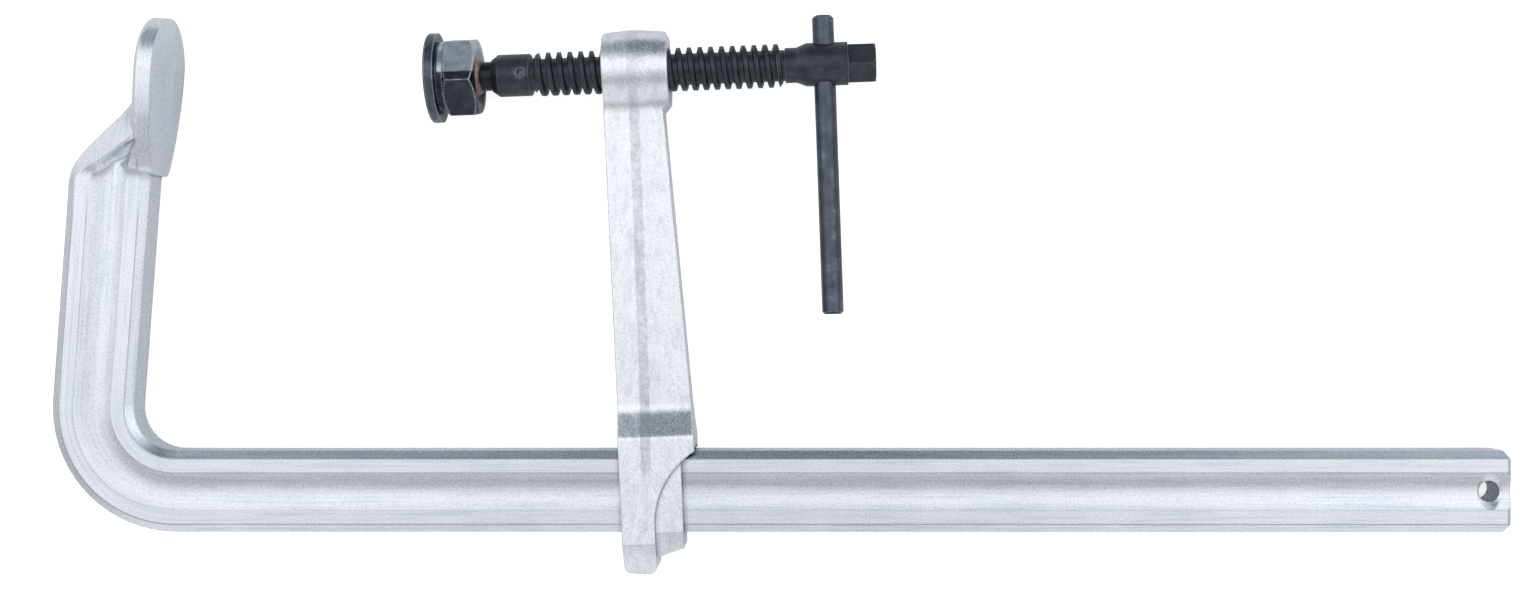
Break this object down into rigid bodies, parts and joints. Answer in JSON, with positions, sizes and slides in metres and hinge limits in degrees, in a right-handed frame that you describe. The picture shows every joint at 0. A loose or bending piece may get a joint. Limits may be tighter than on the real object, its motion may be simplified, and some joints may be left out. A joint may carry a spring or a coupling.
{
  "type": "screw clamp",
  "caption": "Steel bar clamp: grooved rail bent up into a fixed jaw, sliding arm, screw spindle with a swivel pad and a sliding cross handle.",
  "frame": {"origin": "on the fixed jaw's clamping face, in the clamp's middle plane, where the oval face is widest", "axes": "+X along the rail towards its free end, +Y from the rail up to the spindle, +Z out of the clamp's plane; the clamp lies on its side"},
  "size_m": [0.5351, 0.2055, 0.0344],
  "materials": {
    "blasted_steel": "bright zinc over a fine shot-blasted forging",
    "blackened_steel": "black oxide, satin",
    "ground_steel": "hardened and ground, lightly oiled"
  },
  "bodies": {
    "rail": {"rail_with_fixed_jaw": "blasted_steel"},
    "arm": {"sliding_arm": "blasted_steel"},
    "stud": {"ball_stud": "ground_steel"},
    "spindle": {"spindle": "blackened_steel", "stud_pin": "blackened_steel"},
    "pad": {"pressure_plate": "blackened_steel", "pad_nut": "blackened_steel"},
    "handle": {"tommy_bar": "blackened_steel"}
  },
  "joints": [
    {"name": "arm_slide", "type": "slide", "parent": "rail", "child": "arm", "axis": [1, 0, 0], "range_m": [-0.0496, 0.285]},
    {"name": "spindle_feed", "type": "slide", "parent": "arm", "child": "stud", "axis": [0.9994, 0.0349, 0], "range_m": [-0.0418, 0.0258]},
    {"name": "spindle_turn", "type": "hinge", "parent": "stud", "child": "spindle", "pos_m": [0.17355, -0.00009, 0], "axis": [0.9994, 0.0349, 0], "range_deg": [-3744, 2304]},
    {"name": "pad_swivel", "type": "hinge", "parent": "stud", "child": "pad", "pos_m": [0.11029, -0.0023, 0], "axis": [0, 0, 1], "range_deg": [-18, 18]},
    {"name": "handle_slide", "type": "slide", "parent": "spindle", "child": "handle", "axis": [-0.0349, 0.9994, 0], "range_m": [0, 0.0746]}
  ],
  "couplings": [
    {"joint": "spindle_feed", "follows": "spindle_turn", "m_per_rad": 0.00063662}
  ]
}
